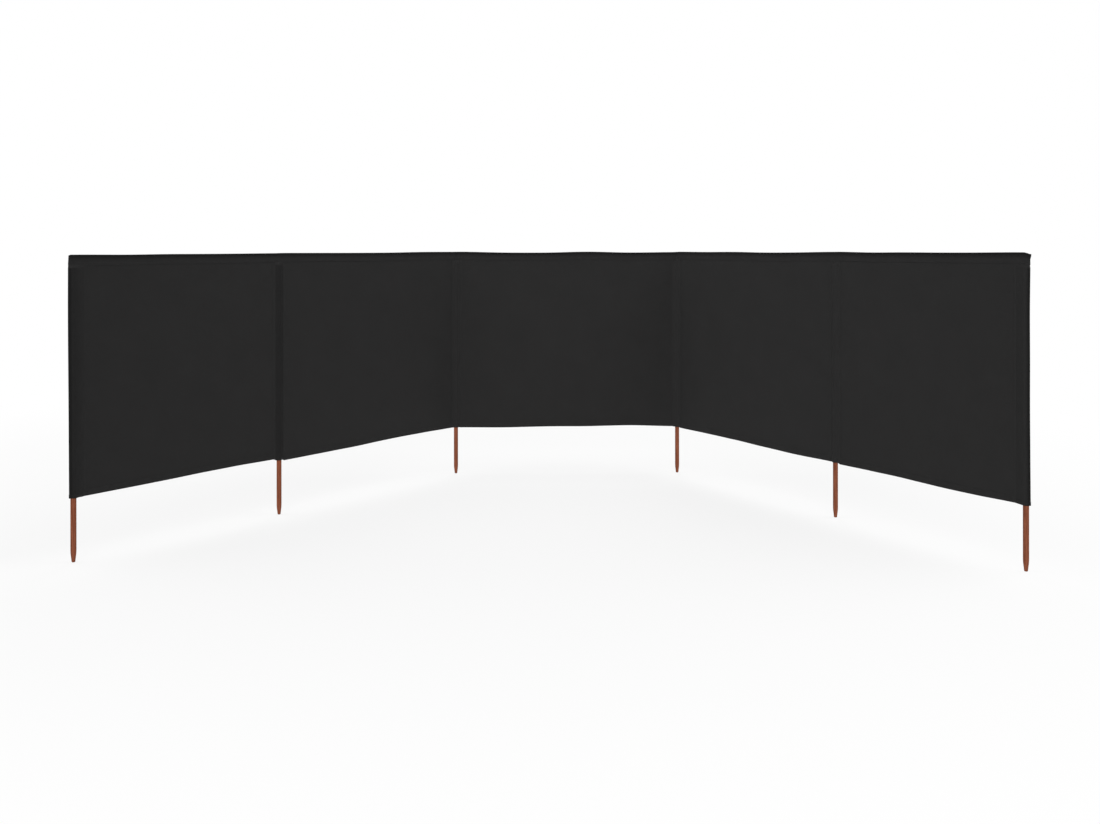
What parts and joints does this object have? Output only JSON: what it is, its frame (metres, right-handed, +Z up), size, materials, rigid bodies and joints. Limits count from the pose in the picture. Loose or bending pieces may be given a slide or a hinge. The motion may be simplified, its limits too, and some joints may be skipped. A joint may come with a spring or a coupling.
{
  "type": "beach windbreak",
  "caption": "Folding beach windbreak: a dark cloth screen in bays, sewn to pockets on pointed round wooden poles, set out as an open U to shelter the space inside.",
  "frame": {"origin": "centre of the flat lower end of pole 3, the left pole of the middle bay seen from the sheltered side", "axes": "+X along the middle bay from pole 3 to pole 4, +Y to the windward side, away from the sheltered space, +Z up"},
  "size_m": [3.6647, 1.9432, 1.2],
  "materials": {
    "stained_wood": "red-brown stain, satin",
    "screen_cloth": "anthracite woven polyester, matt",
    "pocket_cloth": "anthracite woven polyester, matt, two layers",
    "hem_cloth": "anthracite woven polyester, matt, folded and stitched"
  },
  "bodies": {
    "root": {"pole_1": "stained_wood", "pole_2": "stained_wood", "pole_3": "stained_wood", "pole_4": "stained_wood", "pole_5": "stained_wood", "pole_6": "stained_wood", "pole_pocket_1": "pocket_cloth", "pole_pocket_2": "pocket_cloth", "pole_pocket_3": "pocket_cloth", "pole_pocket_4": "pocket_cloth", "pole_pocket_5": "pocket_cloth", "pole_pocket_6": "pocket_cloth", "cloth_bay_1": "screen_cloth", "cloth_bay_2": "screen_cloth", "cloth_bay_3": "screen_cloth", "cloth_bay_4": "screen_cloth", "cloth_bay_5": "screen_cloth", "top_hem_1": "hem_cloth", "top_hem_2": "hem_cloth", "top_hem_3": "hem_cloth", "top_hem_4": "hem_cloth", "top_hem_5": "hem_cloth", "bottom_hem_1": "hem_cloth", "bottom_hem_2": "hem_cloth", "bottom_hem_3": "hem_cloth", "bottom_hem_4": "hem_cloth", "bottom_hem_5": "hem_cloth"}
  },
  "joints": []
}
